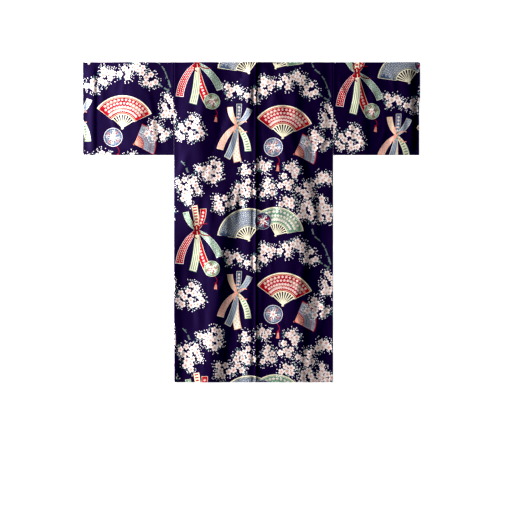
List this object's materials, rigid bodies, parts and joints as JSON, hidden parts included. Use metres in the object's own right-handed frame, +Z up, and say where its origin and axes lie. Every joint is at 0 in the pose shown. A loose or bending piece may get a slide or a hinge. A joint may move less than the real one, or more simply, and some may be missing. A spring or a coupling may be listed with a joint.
{
  "type": "cotton yukata robe",
  "caption": "Unlined cotton summer robe with square sleeves and a long collar band, laid flat on its front with the back up.",
  "frame": {"origin": "middle of the robe's outline, on the surface it lies on", "axes": "+X from the wearer's left cuff to the right cuff, +Y from hem to shoulder fold, +Z up out of the back of the robe"},
  "size_m": [1.4324, 1.36, 0.0152],
  "materials": {
    "printed_cotton": "matt plain weave, printed"
  },
  "bodies": {
    "root": {"body_left": "printed_cotton", "body_right": "printed_cotton", "sleeve_left": "printed_cotton", "sleeve_right": "printed_cotton", "overlap_left": "printed_cotton", "overlap_right": "printed_cotton", "collar": "printed_cotton"}
  },
  "joints": []
}
